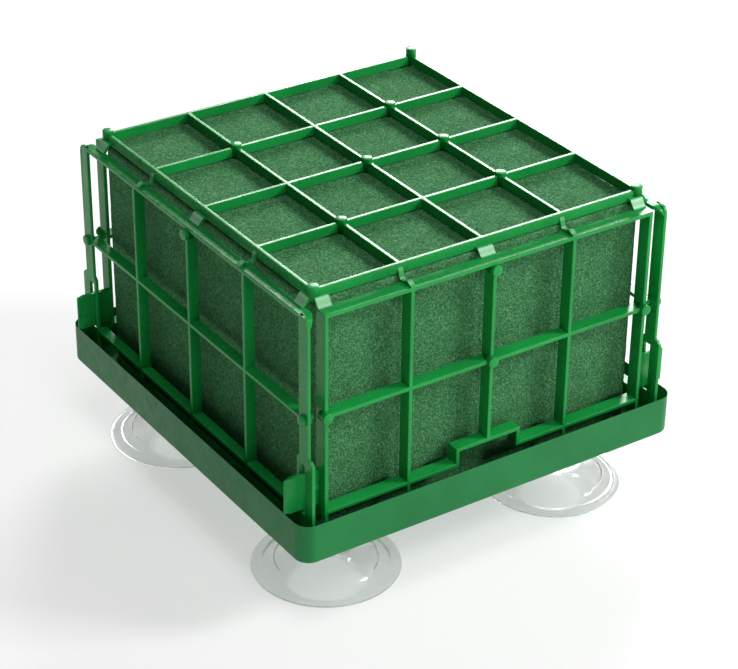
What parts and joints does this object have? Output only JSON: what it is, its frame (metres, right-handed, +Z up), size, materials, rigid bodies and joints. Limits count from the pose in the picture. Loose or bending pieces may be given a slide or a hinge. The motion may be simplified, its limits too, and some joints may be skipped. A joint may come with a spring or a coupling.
{
  "type": "floral foam brick",
  "caption": "Block of floral foam held in a folding plastic grid cage on a shallow tray, with clear suction cups underneath.",
  "frame": {"origin": "on the floor, under the middle of the tray", "axes": "+Z up, +X along the front long face, -Y towards the front face with the notched rail"},
  "size_m": [0.1324, 0.1362, 0.104],
  "materials": {
    "cage_plastic": "semi-gloss moulded polypropylene",
    "tray_plastic": "satin moulded polypropylene",
    "foam": "open-cell phenolic foam, dull and granular",
    "clear_vinyl": "clear soft vinyl"
  },
  "bodies": {
    "tray": {"tray": "tray_plastic", "foam_brick": "foam"},
    "cage_top": {"top_grid": "cage_plastic", "front_corner_hinges": "cage_plastic", "front_centre_hinge": "cage_plastic", "front_quarter_hinges": "cage_plastic", "back_corner_hinges": "cage_plastic", "back_centre_hinge": "cage_plastic", "back_quarter_hinges": "cage_plastic", "left_corner_hinges": "cage_plastic", "left_centre_hinge": "cage_plastic", "left_quarter_hinges": "cage_plastic", "right_corner_hinges": "cage_plastic", "right_centre_hinge": "cage_plastic", "right_quarter_hinges": "cage_plastic"},
    "front_panel": {"front_panel": "cage_plastic"},
    "back_panel": {"back_panel": "cage_plastic"},
    "left_panel": {"left_panel": "cage_plastic"},
    "right_panel": {"right_panel": "cage_plastic"},
    "suction_cup_front_left": {"suction_cup_front_left": "clear_vinyl"},
    "suction_cup_front_right": {"suction_cup_front_right": "clear_vinyl"},
    "suction_cup_rear_left": {"suction_cup_rear_left": "clear_vinyl"},
    "suction_cup_rear_right": {"suction_cup_rear_right": "clear_vinyl"}
  },
  "joints": [
    {"name": "cage_lift", "type": "slide", "parent": "tray", "child": "cage_top", "axis": [0, 0, 1], "range_m": [0, 0.08]},
    {"name": "front_panel_fold", "type": "hinge", "parent": "cage_top", "child": "front_panel", "pos_m": [0, -0.06, 0.0969], "axis": [-1, 0, 0], "range_deg": [0, 90]},
    {"name": "back_panel_fold", "type": "hinge", "parent": "cage_top", "child": "back_panel", "pos_m": [0, 0.06, 0.0969], "axis": [1, 0, 0], "range_deg": [0, 90]},
    {"name": "left_panel_fold", "type": "hinge", "parent": "cage_top", "child": "left_panel", "pos_m": [-0.05795, 0, 0.0969], "axis": [0, 1, 0], "range_deg": [0, 90]},
    {"name": "right_panel_fold", "type": "hinge", "parent": "cage_top", "child": "right_panel", "pos_m": [0.05795, 0, 0.0969], "axis": [0, -1, 0], "range_deg": [0, 90]},
    {"name": "cup_front_left_turn", "type": "hinge", "parent": "tray", "child": "suction_cup_front_left", "pos_m": [-0.04125, -0.0425, 0.0228], "axis": [0, 0, 1], "continuous": true},
    {"name": "cup_front_right_turn", "type": "hinge", "parent": "tray", "child": "suction_cup_front_right", "pos_m": [0.04125, -0.0425, 0.0228], "axis": [0, 0, 1], "continuous": true},
    {"name": "cup_rear_left_turn", "type": "hinge", "parent": "tray", "child": "suction_cup_rear_left", "pos_m": [-0.04125, 0.0425, 0.0228], "axis": [0, 0, 1], "continuous": true},
    {"name": "cup_rear_right_turn", "type": "hinge", "parent": "tray", "child": "suction_cup_rear_right", "pos_m": [0.04125, 0.0425, 0.0228], "axis": [0, 0, 1], "continuous": true}
  ]
}
